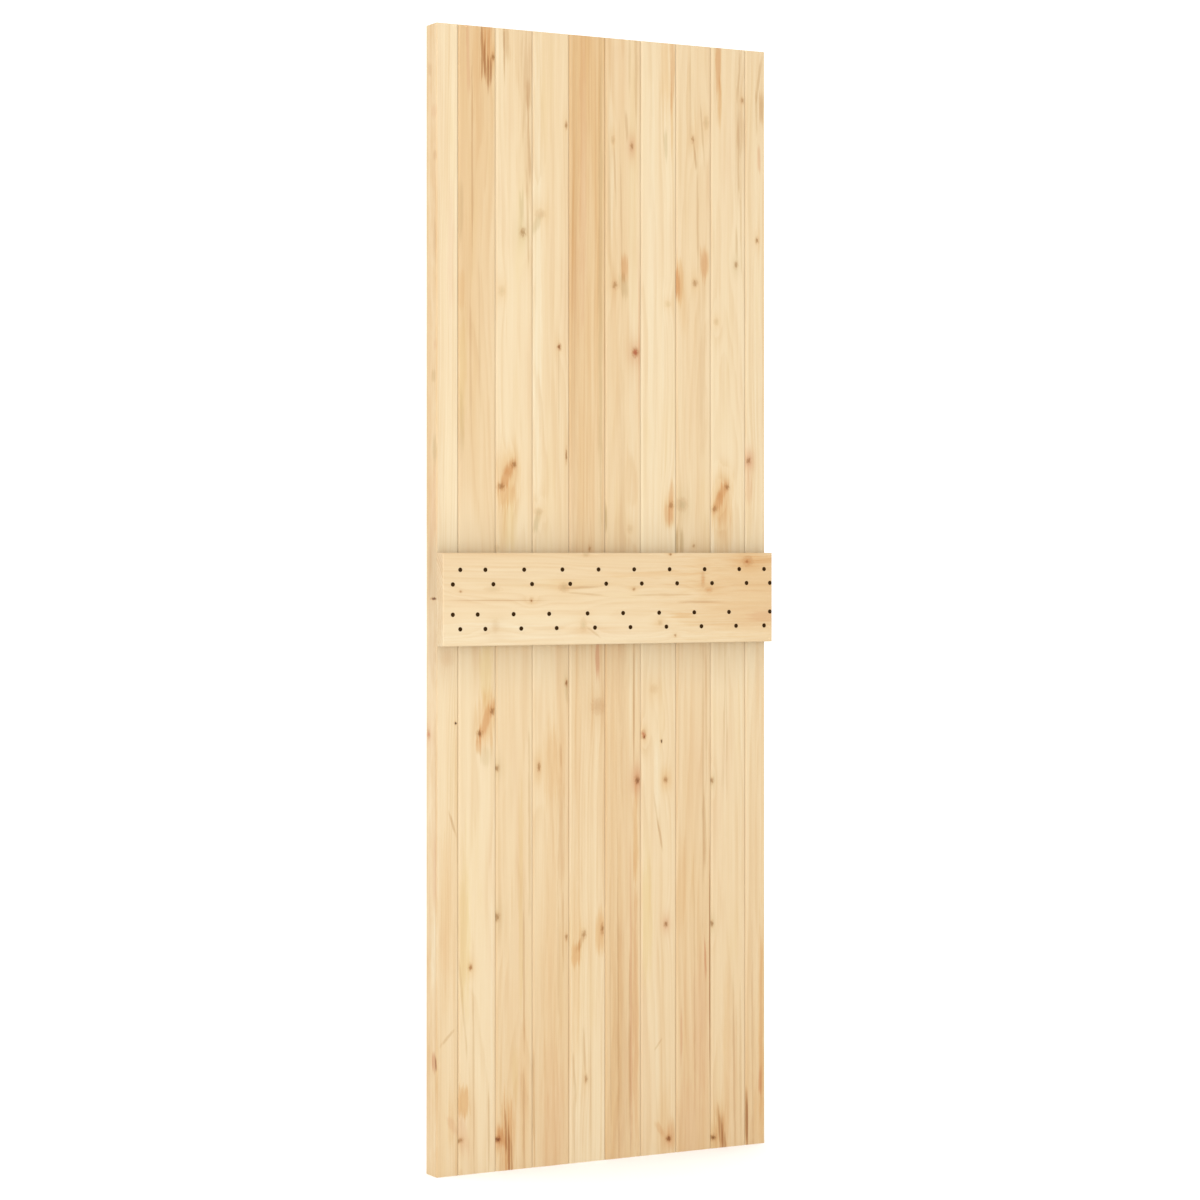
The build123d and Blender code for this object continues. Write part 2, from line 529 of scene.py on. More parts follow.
def paintEnds(plank, along, late, point, colour):
    away = calc("ABSOLUTE", minus(along, plank["middleAlong"]))
    half = plank["halfAlong"]
    mask = ramp(away, half - endPaint["starts"], half - endPaint["full"])
    ends = stain(colour, "line", times(late, endPaint["rings"]))
    pores = ramp(noiseOf(point, endPaint["poreGrain"])["Fac"], *endPaint["pores"], 1, 0)
    return mixColours(mask, colour, darkened(ends, pores, endPaint["poreShade"]))


# Painted shade darkens the front for a hand's breadth above the ledge that the crosspiece makes, and a
# little below it. On the leaf's left side the painted shade thins out before the back.
ledgeShadePaint = {
    "start": 0.01, "near": 0.035, "far": 0.1, "above": 0.86, "under": 0.11, "below": 0.91,
    "sideFades": (0.028, 0.042),
}


def paintLedgeShade(upright, depth, nearFace, onSide, colour):
    side = times(onSide, ramp(depth, *ledgeShadePaint["sideFades"], 1, 0))
    reach = calc("MAXIMUM", nearFace, side)
    ledge, start = crosspieceHigh.z, ledgeShadePaint["start"]
    near = ramp(upright, ledge - start, ledge + ledgeShadePaint["near"], 1, 0)
    far = ramp(upright, ledge, ledge + ledgeShadePaint["far"], 1, 0)
    isAbove = ramp(upright, crosspieceMiddle, crosspieceMiddle + start)
    above = times(timesPlus(near, 0.5, times(far, 0.5)), isAbove)
    # painted shade above the crosspiece
    colour = darkened(colour, times(above, reach), ledgeShadePaint["above"])
    # painted shade under the crosspiece
    under = ramp(upright, crosspieceLow.z - ledgeShadePaint["under"], crosspieceLow.z)
    under = times(under, minus(1, isAbove))
    return darkened(colour, times(under, reach), ledgeShadePaint["below"])


# How deep the marks of the front and of the left side go, and the wood's own relief and gloss
surfaceValues = {
    "frontMarks": (0.003, 0.009), "sideMarks": (0.0005, 0.003),  # metres behind their face: full, gone
    "fibreRelief": 0.6, "lateRelief": 0.5, "bump": 0.5, "bumpHeight": 0.0002,
    "roughness": (0.25, 0.75, 0.5, 0.66), "specular": 0.3,
}


def pineMaterial(name, plank):
    material, objectPlace = newMaterial(name)
    place = split(objectPlace)
    acrossPart, along = (place[2], place[0]) if plank["level"] else (place[0], place[2])
    across = minus(acrossPart, plank["middleAcross"])
    depth = minus(place[1], plank["faceY"])
    point = joined(across, depth, along)
    points = {False: point}
    nearFace = {False: ramp(depth, *surfaceValues["frontMarks"], 1, 0)}
    onSide = 0
    if any(mark["side"] for mark in plank["marks"]):
        points[True] = joined(depth, across, along)
        sideDepth = minus(place[0], leafLow.x)
        nearFace[True] = onSide = ramp(sideDepth, *surfaceValues["sideMarks"], 1, 0)

    # The knots come first, because the rings flow round them
    stains, swirl, rims = knotWork(plank, points, nearFace)
    colour, late, fibre = plankColour(plank, point, place[2], across, swirl, onSide)
    colour = paintStreaks(plank, points, nearFace, colour)
    colour = mixColours(1, colour, stains, "MULTIPLY")
    # painted shade and a painted highlight at the joints
    colour = paintJointShadeAndHighlight(plank, across, along, colour)
    colour = paintEnds(plank, along, late, point, colour)
    if not plank["level"]:
        # painted shade above and below the crosspiece
        colour = paintLedgeShade(place[2], depth, nearFace[False], onSide, colour)

    relief = times(late, surfaceValues["lateRelief"])
    relief = minus(timesPlus(fibre, surfaceValues["fibreRelief"], relief), rims)
    bump = addNode("Bump", {
        "Strength": surfaceValues["bump"], "Distance": surfaceValues["bumpHeight"], "Height": relief})
    finishMaterial({
        "Base Color": colour, "Roughness": ramp(fibre, *surfaceValues["roughness"]),
        "Normal": bump.outputs[0], "Specular IOR Level": surfaceValues["specular"]})
    return material


def knot(photoX, photoY, wide, high, darkness, **more):
    usual = {"side": False, "halo": 0.3, "around": "orange", "core": "core", "swirl": 4}
    return {"kind": "knot", "start": (photoX, photoY), "wide": wide, "high": high, "dark": darkness,
            **usual, **more}


def streakOf(kind, fray=1):
    # A function that writes down streaks of one colour
    def streak(fromX, fromY, toX, toY, wide, strength, **more):
        usual = {"side": False, "fray": fray, "soft": 0.7, "torn": 0}
        return {"kind": kind, "start": (fromX, fromY), "end": (toX, toY), "wide": wide,
                "strength": strength, **usual, **more}
    return streak


line, light, orange, resin, brown = map(streakOf, ("line", "light", "orange", "resin", "brown"))
olive, blush, yellow, red = map(streakOf, ("olive", "blush", "yellow", "red"))
dark = streakOf("dark", fray=1.2)


# What every plank starts from; a plank's own values come over these. Lengths are in millimetres.
plainPlank = {
    "tones": (0.3, 0.3, 0.4, 0.6),  # 0 pale to 1 deep: top edge, above and below the crosspiece, foot
    "sideTones": None,  # the same four for the leaf's left side
    "slope": 0,  # how much deeper the right edge is than the middle
    "pithAcross": 0, "pithDepth": 90,  # the log's middle, from the plank's middle and behind its face
    "ringWidth": 5.2, "wander": 30, "taper": 0.008,
    "bands": 0.6, "broad": 0.8, "threads": 0.4, "fibre": 0.2, "late": 0.18, "blotches": 1, "warmth": 0.4,
    "seed": 0, "level": False,
}

boardFinishes = {
    "board_01": {"tones": (0.12, 0.08, 0.2, 0.44), "sideTones": (0.62, 0.52, 0.36, 0.46), "seed": 1.3,
                 "pithAcross": 60, "pithDepth": 40},
    "board_02": {"tones": (0.6, 0.36, 0.24, 0.3), "seed": 2.9, "broad": 0.6, "pithAcross": -20,
                 "bands": 0.8},
    "board_03": {"tones": (0.26, 0.12, 0.28, 0.54), "seed": 4.1, "broad": 0.6, "pithAcross": 15},
    "board_04": {"tones": (0.26, 0.22, 0.3, 0.54), "seed": 5.7, "pithAcross": -30, "slope": 0.12},
    "board_05": {"tones": (0.98, 0.56, 0.46, 0.14), "seed": 7.3, "pithAcross": 70, "pithDepth": 60,
                 "late": 0.24, "ringWidth": 6, "wander": 12, "broad": 1.1},
    "board_06": {"tones": (0.4, 0.4, 0.44, 0.6), "slope": -0.1, "seed": 8.8, "pithAcross": 10},
    "board_07": {"tones": (0.14, 0.12, 0.24, 0.4), "seed": 10.1, "broad": 0.5, "pithAcross": -40},
    "board_08": {"tones": (0.3, 0.44, 0.46, 0.7), "seed": 11.9, "pithAcross": 30},
    "board_09": {"tones": (0.26, 0.08, 0.24, 0.5), "seed": 13.3, "broad": 0.6, "pithAcross": -15},
    "board_10": {"tones": (0.32, 0.12, 0.2, 0.58), "seed": 14.7, "pithAcross": 40},
}
crosspieceFinish = {
    "tones": (0.5, 0.45, 0.26, 0.36), "seed": 21, "pithAcross": -30, "pithDepth": 110, "wander": 34,
    "taper": 0.012, "level": True, "late": 0.14, "bands": 0.4, "broad": 0.4, "threads": 0.4,
}

# Marks: knots as (photo X, photo Y, wide, high, dark), and streaks of a colour as (from X, from Y, to X,
# to Y, wide, strength). Widths and heights are in millimetres.
leftSideMarks = [
    knot(434.2, 600.5, 27, 5, 1.9, halo=0, swirl=0), knot(428.7, 736, 12, 15, 0.9, core="red", around="red"),
    red(433.5, 1053, 434.5, 1073, 17, 0.75, torn=0.5), dark(435.5, 1056, 436, 1072, 6, 0.8, fray=1),
    blush(434.5, 833, 435, 905, 12, 0.9), brown(429.5, 62, 430, 76, 12, 0.6),
    blush(434, 104, 434, 118, 22, 0.7), brown(435, 150, 435, 160, 12, 0.4),
    brown(434.5, 216, 435, 262, 12, 0.5), blush(435, 338, 435, 352, 14, 0.6),
    olive(434, 370, 434, 382, 20, 0.4), light(434, 384, 434, 428, 18, 0.3),
    olive(434.5, 436, 434.5, 462, 18, 0.5), blush(433, 464, 433, 550, 30, 0.7),
    light(434, 918, 434, 985, 34, 1.2),
]
for mark in leftSideMarks:
    mark["side"] = True
boardMarks = {"board_01": leftSideMarks + [
    knot(455.5, 723.2, 5.5, 5.5, 1.1, core="black", halo=0.1, swirl=2),
    knot(447.5, 659, 22, 24, 0.3, core="brown", around="blush"),
    orange(446, 830, 447, 1000, 26, 0.4, soft=1), line(449, 812, 456, 836, 5, 0.7, fray=0.6),
    line(455.5, 1028, 441, 1046, 8, 0.5), blush(448, 1116, 456, 1134, 16, 0.8),
    light(443, 430, 443, 545, 11, 0.6, soft=1), light(451.5, 715, 451.5, 830, 10, 0.5, soft=1),
    blush(451, 190, 451, 330, 14, 0.7, soft=1), brown(436.6, 650, 436.6, 1170, 4, 0.45),
    orange(451, 1090, 451, 1150, 12, 0.4),
]}
boardMarks["board_02"] = [
    knot(493, 57, 8, 15, 0.7), knot(492.3, 711.3, 10, 16, 0.8), knot(479.5, 733.5, 12, 14, 0.95),
    knot(470.5, 967.4, 9, 14, 0.8, core="dark", halo=0.5), knot(459.9, 1140.6, 16, 11, 0.6),
    orange(487, 8, 487, 84, 30, 0.65, fray=0.8, soft=0.6), dark(481.8, 22, 482.4, 74, 5, 0.4),
    dark(484.6, 44, 485, 82, 5, 0.5), dark(487.8, 50, 488.4, 92, 5, 0.5), dark(490.8, 58, 491, 82, 5, 0.5),
    resin(486.5, 14, 486.5, 70, 20, 0.6, torn=0.9), blush(467.5, 14, 468.5, 92, 8, 1),
    orange(475, 14, 475, 110, 16, 0.35, soft=1), line(472, 60, 472.4, 250, 4, 0.6),
    olive(461, 180, 461, 248, 10, 0.35), orange(461.5, 272, 462, 310, 16, 0.35),
    yellow(463, 306, 462, 430, 15, 0.65), olive(461.8, 392, 461.2, 455, 11, 0.3),
    line(470, 292, 471, 430, 5, 0.4), line(479, 250, 480, 420, 4, 0.3), yellow(486, 636, 486, 704, 27, 0.8),
    orange(487, 690, 485, 746, 38, 0.75), resin(492, 702, 480.5, 738, 18, 0.6),
    resin(478.5, 738, 478.7, 754, 12, 0.5), olive(486, 746, 486, 766, 22, 0.3),
    line(473, 970, 474, 1172, 4, 0.5), line(457, 940, 468, 1066, 5, 0.4),
    yellow(464, 860, 464, 1010, 24, 0.9, soft=1), orange(463, 1087, 463, 1118, 26, 1.2, soft=0.5),
    blush(459, 1112, 466, 1156, 22, 0.8), line(488.6, 1096, 489, 1174, 4, 0.6),
    light(491.8, 860, 491.8, 1172, 5, 0.6),
]
boardMarks["board_03"] = [
    knot(522.8, 232.6, 14, 19, 0.58, around="olive"), knot(502, 291, 12, 16, 0.4, core="olive"),
    knot(514, 464.5, 12, 14, 0.68), knot(507, 471, 14, 16, 0.4, core="resin"),
    knot(501.3, 486.3, 18, 15, 0.6), knot(496.7, 548, 10, 9, 0.4, core="olive"),
    knot(496.8, 768.3, 11, 13, 0.75, around="olive"), knot(496.9, 917, 13, 19, 0.65, around="olive"),
    knot(497.9, 1139.5, 12, 12, 1.3, core="dark", around="resin", halo=0.8),
    light(497.5, 24, 497.5, 62, 6, 0.6), line(503.8, 24, 504.4, 80, 3.6, 0.9, fray=0.8),
    brown(505.5, 22, 507, 62, 14, 0.6), brown(526, 14, 527, 120, 26, 0.65, torn=0.6, soft=1),
    brown(528.5, 80, 528.5, 110, 12, 0.6), brown(526, 110, 528.5, 190, 16, 0.3, soft=1),
    line(528, 108, 530, 178, 5, 0.5), line(527, 178, 528.5, 266, 5, 0.5),
    olive(521.4, 190, 521.6, 224, 9, 0.5), orange(508, 446, 508, 508, 48, 0.6, soft=1),
    resin(513, 460, 502, 489, 20, 0.65), orange(507, 484, 507, 506, 40, 0.5),
    yellow(508.5, 500, 508.5, 552, 30, 0.5), line(529.3, 740, 529.6, 915, 5, 0.5),
    line(523.6, 890, 524, 1045, 5, 0.6), orange(524, 1020, 524, 1170, 18, 0.35, soft=1),
    orange(502, 494, 502, 545, 26, 0.5, soft=1), yellow(521, 780, 521, 1020, 9, 0.6),
    orange(508, 1096, 508, 1184, 34, 0.6), resin(507.6, 1106, 508, 1184, 22, 0.55, torn=0.9),
    dark(505.3, 1108, 506.4, 1150, 4, 0.5), dark(508.6, 1126, 509, 1184, 5, 0.5, fray=1),
    dark(511.4, 1134, 511.8, 1184, 3.5, 0.35), resin(499, 1126, 504, 1148, 13, 0.5),
    yellow(515, 1050, 516, 1110, 14, 0.5), line(523.5, 1070, 524, 1178, 5, 0.55),
]
boardMarks["board_04"] = [
    knot(540.6, 213.5, 18, 15, 0.5, core="brown"), knot(559.3, 347, 8, 13, 1.2, core="dark"),
    knot(538.6, 511.5, 14, 12, 0.65, core="olive"), knot(566.2, 125, 7, 16, 0.7, swirl=1, halo=0.2),
    knot(566.3, 455.5, 5, 28, 0.8, swirl=1, halo=0.1),
    knot(566.5, 683, 7, 14, 1, swirl=1, around="olive", core="dark"),
    knot(566.4, 937, 7, 15, 0.6, swirl=1, halo=0.2), knot(539, 767, 8, 20, 0.65, halo=0.5),
    light(537, 22, 537, 505, 20, 1), olive(540, 214, 533.5, 234, 15, 0.4),
    line(558.6, 328, 558.8, 430, 3, 0.35), olive(539, 512, 534.5, 533, 12, 0.6),
    olive(566.7, 684, 567, 702, 6, 0.35), orange(553, 728, 555, 800, 40, 0.5, soft=1),
    line(560.6, 742, 561, 766, 5, 0.4), orange(552, 810, 552, 1190, 34, 0.25, fray=1.6, soft=1),
    blush(554, 1060, 556, 1190, 46, 0.4, soft=1), light(536.5, 760, 536.5, 1168, 9, 0.4),
    line(533.6, 1055, 534.4, 1172, 4, 0.7), line(558, 885, 559, 1035, 5, 0.3),
    line(563, 890, 563.5, 975, 4, 0.45), brown(561, 780, 561, 885, 14, 0.4, soft=1),
    light(560, 380, 560, 500, 16, 0.5, soft=1),
]
boardMarks["board_05"] = [
    knot(598, 706, 24, 26, 0.7, core="brown", around="brown"), knot(584, 934, 11, 18, 0.55),
    knot(602.4, 929, 8, 22, 0.7), knot(586, 1079, 8, 18, 0.55), knot(589.6, 549, 6, 13, 0.5),
    brown(574, 16, 574, 560, 16, 0.32, soft=1), blush(583, 16, 583, 330, 15, 0.7),
    olive(600.5, 16, 600.5, 540, 9, 0.45), light(571.3, 250, 571.3, 560, 4, 0.5),
    light(571, 640, 571, 1165, 3.4, 0.8, fray=0.4), red(597.3, 636, 597.5, 680, 9, 0.55),
    orange(576.5, 942, 576, 966, 20, 0.9, soft=0.5), brown(583, 936, 577, 952, 10, 0.6),
    orange(600.2, 912, 600.2, 954, 22, 0.9), line(572.5, 1050, 576, 1100, 5, 0.5),
    line(583, 1026, 585, 1072, 5, 0.45), line(590.5, 1045, 591, 1160, 4, 0.35),
    brown(574, 1085, 574.5, 1165, 5, 0.5), orange(575, 870, 575, 1080, 22, 0.5, soft=1),
]
boardMarks["board_06"] = [
    knot(613, 140, 8, 14, 0.6, core="olive"), knot(631.8, 146.3, 8, 16, 0.55, around="red", halo=0.3),
    knot(615, 285, 14, 16, 0.48), knot(635.4, 352.5, 13, 16, 1.75, core="red", around="red"),
    knot(630, 529, 11, 14, 0.4, core="olive"),
    knot(637.4, 780, 12, 18, 0.75, core="core", around="red", halo=0.5),
    knot(638, 781, 6, 8, 0.35, core="dark", halo=0, swirl=0), line(636, 16, 636, 122, 7, 0.45),
    line(629.5, 16, 629.5, 100, 5, 0.3), line(625.6, 110, 627, 138, 6, 0.5),
    line(614, 144, 616, 200, 4, 0.5), line(609, 150, 610, 262, 5, 0.4), line(620, 142, 622, 264, 4, 0.45),
    resin(624.4, 254, 624.3, 281, 16, 0.6), olive(622, 274, 625, 298, 17, 0.5),
    yellow(633, 20, 633, 346, 18, 0.3), red(639, 270, 639, 430, 4, 0.2, fray=0.5),
    light(632, 130, 632, 545, 14, 0.7), light(611, 90, 611, 250, 12, 0.9),
    olive(605.6, 500, 605.6, 533, 6, 0.9), light(630.5, 640, 630.5, 775, 5, 0.7),
    line(633.8, 638, 633.8, 768, 4, 1, fray=0.3), light(636.6, 640, 636.6, 706, 5, 0.7),
    orange(635.5, 786, 635.5, 890, 10, 0.8), red(630.5, 850, 631.5, 1158, 5, 0.25, fray=0.4),
    resin(635.6, 880, 636, 1158, 12, 0.4), brown(622, 940, 622, 1170, 34, 0.3, soft=1),
    line(629.4, 980, 630.4, 1164, 4, 0.5), brown(622, 360, 622, 790, 14, 0.35, soft=1),
    line(617.5, 840, 619, 1158, 4, 0.5), line(610, 900, 611, 1158, 4, 0.35),
]
boardMarks["board_07"] = [
    knot(671, 505.3, 12, 16, 0.5), knot(643.4, 734.5, 10, 15, 1.2, core="red"),
    knot(644.6, 737, 6, 8, 1, core="dark", halo=0), knot(661.5, 741.2, 5.5, 8, 0.75, core="black", halo=0.1),
    knot(654, 689, 16, 16, 0.4, core="brown"), knot(665.5, 779.6, 11, 14, 0.58, halo=0.8),
    knot(665.9, 924, 9, 13, 0.78, around="red"), knot(668, 304, 11, 10, 0.4, core="olive"),
    knot(668.6, 1138.5, 12, 13, 1.15, core="dark", around="resin", halo=0.5),
    light(651, 22, 654, 560, 18, 0.4), orange(666, 24, 666, 112, 22, 0.6, soft=1),
    resin(672.5, 24, 672.6, 108, 10, 0.6), orange(671.5, 88, 672.5, 156, 8, 0.6),
    olive(665, 130, 666, 160, 8, 0.5), light(663, 280, 663, 400, 6, 0.5),
    resin(671.5, 480, 671, 522, 12, 0.6), resin(666.5, 504, 668.5, 526, 14, 0.4),
    orange(669, 496, 669, 528, 26, 0.45), light(657.7, 738, 658, 816, 13, 0.8, soft=1),
    line(657.6, 820, 662.5, 850, 5, 0.7, fray=0.5), line(654, 796, 659, 832, 4, 0.35),
    line(661.5, 1039, 655.5, 1049, 5, 0.4), resin(671.4, 1118, 672, 1152, 15, 0.5, torn=0.3),
    resin(656.5, 1122, 663, 1136, 13, 0.35), light(655, 980, 657, 1122, 11, 0.4),
    yellow(647, 850, 647, 980, 22, 0.8, soft=1), orange(664, 1090, 664, 1166, 30, 0.35, soft=1),
]
boardMarks["board_08"] = [
    knot(693, 139.5, 9, 16, 0.5), knot(706.2, 123, 10, 22, 0.6, core="olive"), knot(695, 283, 13, 16, 0.5),
    knot(682, 504.5, 20, 22, 0.7, core="olive", around="olive"), knot(693.6, 546, 7, 8, 0.4),
    line(693.8, 144, 696.6, 170, 5, 0.7), line(697.2, 160, 698, 266, 5, 0.5),
    line(700, 100, 704.5, 164, 4, 0.5), line(690, 46, 690.5, 136, 4, 0.4),
    resin(704.3, 248, 704.3, 278, 18, 0.7), orange(679.4, 256, 679.4, 304, 19, 0.9),
    resin(677.4, 268, 677.6, 300, 9, 0.8), olive(677, 528, 677.3, 556, 6, 0.9),
    olive(681.5, 528, 682, 554, 8, 0.7), line(703, 640, 703, 910, 5, 0.4),
    line(706, 640, 706.2, 780, 4, 0.4), dark(709.6, 860, 709.8, 1064, 3, 0.6, fray=0.3),
    red(705, 943, 706, 980, 5, 0.5), blush(700, 960, 700, 1090, 34, 0.7, soft=1),
    red(681.5, 998, 681.5, 1062, 5, 0.3), line(704, 785, 705, 864, 7, 0.5),
    blush(690, 1070, 690, 1170, 50, 0.5, soft=1), orange(682, 840, 682, 930, 18, 0.4, soft=1),
    line(694, 880, 695, 1100, 4, 0.35), brown(702, 300, 702, 450, 16, 0.35, soft=1),
    orange(683, 280, 683, 330, 20, 0.4, soft=1),
]
boardMarks["board_09"] = [
    knot(742.2, 100.6, 8, 12, 0.6), knot(736, 265, 9, 15, 0.58, around="olive"),
    knot(716.3, 321.7, 9, 11, 0.5, core="olive"), knot(727, 487, 13, 14, 0.65),
    knot(719.3, 495, 11, 17, 0.4, core="resin"), knot(714.6, 509, 15, 15, 0.5),
    knot(711.9, 780.4, 9, 12, 0.72, around="olive"), knot(711.9, 923.5, 8, 13, 0.78, around="olive"),
    knot(713.2, 1137.4, 15, 13, 0.7), knot(713, 1137.5, 7, 7, 0.8, core="dark", halo=0, swirl=0),
    resin(718.2, 36, 718.4, 92, 13, 0.7), orange(719.4, 76, 719.8, 126, 9, 0.8),
    brown(739, 36, 739, 215, 22, 0.35, torn=0.4, soft=1), brown(741, 116, 741, 154, 15, 0.4),
    line(741, 48, 737, 100, 6, 0.6), line(738.5, 106, 738.5, 196, 6, 0.5), line(736, 226, 737, 262, 5, 0.6),
    line(740.5, 186, 741, 264, 4, 0.45), orange(724, 468, 718, 530, 44, 0.6, soft=1),
    resin(727, 480, 714.5, 512, 19, 0.6), orange(724, 494, 724, 562, 40, 0.7, soft=1),
    light(741, 640, 741, 870, 6, 0.6), line(725, 645, 725, 800, 14, 0.45, torn=1),
    orange(720, 1098, 721.5, 1158, 32, 0.5), dark(718.4, 1104, 719.2, 1140, 5, 0.35),
    dark(721.8, 1116, 722.6, 1156, 5, 0.55), dark(724.8, 1132, 725.2, 1156, 4, 0.4),
    resin(719, 1110, 722.5, 1156, 24, 0.5, torn=1), line(733, 980, 735, 1152, 5, 0.5),
    line(740, 990, 741, 1152, 5, 0.4), orange(727, 970, 727, 1158, 18, 0.45, soft=1),
]
boardMarks["board_10"] = [
    knot(757, 240.4, 8, 14, 0.7), knot(748.5, 460.8, 11, 15, 0.65, around="red", halo=0.5),
    line(761.3, 58, 756, 100, 6, 0.6), brown(761.4, 92, 761.6, 125, 10, 1), line(756, 92, 757, 134, 5, 0.5),
    red(759, 148, 759, 172, 7, 0.3), blush(748.5, 474, 749, 504, 17, 0.9),
    dark(746.7, 1090, 746.9, 1147, 6, 0.7, fray=0.5), red(759.6, 1066, 760, 1094, 8, 0.4),
    orange(761, 930, 761.5, 1150, 12, 0.9), orange(762, 640, 762, 940, 7, 0.4),
    line(752, 940, 753, 1148, 5, 0.4), orange(749, 470, 749, 545, 14, 0.4, soft=1),
    light(757, 340, 757, 480, 14, 0.4, soft=1), orange(757, 1080, 757, 1147, 12, 0.4),
]
crosspieceMarks = [
    knot(564, 587.6, 18, 15, 0.7, core="olive"), knot(460.5, 591.5, 8, 5, 0.6, swirl=1, halo=0.1),
    knot(531.4, 600.3, 8, 11, 0.6, core="brown", halo=0.2), knot(531.4, 600.6, 4, 5, 0.9, halo=0),
    knot(583.6, 624.6, 12, 20, 0.5, core="olive"), knot(633.8, 589, 7, 7, 0.7),
    knot(670.4, 554.3, 7, 7, 0.8), knot(747.8, 561.2, 21, 17, 0.8, core="resin", halo=0.8),
    knot(747, 561.6, 9, 7, 0.5, core="dark", halo=0), knot(675.3, 635.4, 7, 7, 0.6),
    knot(660, 622.5, 8, 10, 0.6, core="olive"), knot(586, 554.5, 13, 8, 0.6, core="olive", halo=0.1),
    knot(493, 589, 30, 9, 0.4, core="olive", halo=0.1), knot(703, 579, 8, 24, 0.7, core="resin"),
    knot(709, 590, 16, 10, 0.6, core="resin"),
    knot(495.5, 626, 13, 20, 0.4, core="brown", around="brown", halo=0.2),
    light(380, 633, 560, 633, 38, 0.5, soft=0.5), light(480, 639, 820, 634, 24, 0.35),
    line(452, 600.3, 548, 600.6, 2.6, 0.6, fray=0.3), line(568, 588, 606, 586.5, 5, 0.6),
    line(566, 592, 606, 596, 4, 0.4), orange(600, 575, 700, 574, 11, 0.4),
    line(630, 595, 692, 594.6, 4, 0.4), line(680, 602, 718, 601.6, 4, 0.6),
    orange(672, 615.5, 694, 615, 10, 0.6), blush(748, 617, 780, 614, 22, 0.8),
    orange(752, 559, 784, 560, 16, 0.5), orange(686, 598, 870, 592, 200, 0.65, soft=1),
    line(588, 628, 600, 637, 5, 0.4), light(430, 578, 570, 578, 40, 0.6, soft=1),
    light(470, 623, 615, 621, 24, 0.5, soft=1),
]


# Gives every board and the crosspiece its own pine
def finishPine():
    for number, name in enumerate(boardNames):
        left, right = boardLines[number:number + 2]
        giveMaterial(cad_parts[name], pineMaterial("pine_" + name, {
            **plainPlank, **boardFinishes[name], "marks": boardMarks[name], "faceY": boardFront,
            "middleAcross": (left + right) / 2, "halfAcross": (right - left) / 2,
            "middleAlong": (leafLow.z + leafHigh.z) / 2, "halfAlong": (leafHigh.z - leafLow.z) / 2,
            "joints": (number > 0, number < len(boardNames) - 1)}))
    giveMaterial(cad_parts["crosspiece"], pineMaterial("pine_crosspiece", {
        **plainPlank, **crosspieceFinish, "marks": crosspieceMarks, "faceY": crosspieceFront,
        "middleAcross": crosspieceMiddle, "halfAcross": (crosspieceHigh.z - crosspieceLow.z) / 2,
        "middleAlong": 0, "halfAlong": crosspieceHigh.x, "joints": (False, False)}))


finishPine()
print("3 pine")


# Lengths are in millimetres
screwValues = {
    "sides": 32, "rowsPerTurn": 6,
    "rim": 0.2, "rimEdge": 0.12, "headAngle": 90,
    "recessReach": 2.1, "recessWaist": 0.8, "recessDepth": 2, "armPower": 3,  # cross recess
    "recessRows": ((0.04, 1), (0.45, 0.8), (0.85, 0.45), (1, 0)),  # shares of its outline and of its depth
    "shank": 3.9, "core": 2.7, "plainShank": 16, "pointLength": 6, "tip": 0.1, "pointShare": 0.08,
    "pitch": 2.2, "steepness": 3.2, "threadGaps": (0.5, 0.6),  # the thread's distance from shank and tip
    "sharpAngle": 35,  # degrees between two faces from which their edge shows
}
heightGap = 0.01  # metres between the heights of two screws, at least


def screwBoxes(name):
    # The box of each screw, from the corners of its CAD solids: those at one height are one screw
    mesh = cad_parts[name].data
    corners = np.empty(len(mesh.vertices) * 3)
    mesh.vertices.foreach_get("co", corners)
    corners = corners.reshape(-1, 3)
    corners = corners[np.argsort(corners[:, 2])]
    gaps = np.flatnonzero(np.diff(corners[:, 2]) > heightGap) + 1
    return [(one.min(0), one.max(0)) for one in np.split(corners, gaps)]


def closedGrid(points, firstPole, lastPole):
    # Corners and faces of a grid that closes on itself along its second parameter and ends in two poles
    rowCount, sideCount = points.shape[:2]
    corners = np.concatenate([points.reshape(-1, 3), [firstPole, lastPole]])
    number = np.arange(rowCount * sideCount).reshape(rowCount, sideCount)
    after = np.roll(number, -1, axis=1)
    quads = np.stack([number[:-1], number[1:], after[1:], after[:-1]], -1).reshape(-1, 4)
    firstFan = np.stack([number[0], after[0], np.full(sideCount, rowCount * sideCount)], -1)
    lastFan = np.stack([after[-1], number[-1], np.full(sideCount, rowCount * sideCount + 1)], -1)
    return corners, quads, firstFan, lastFan


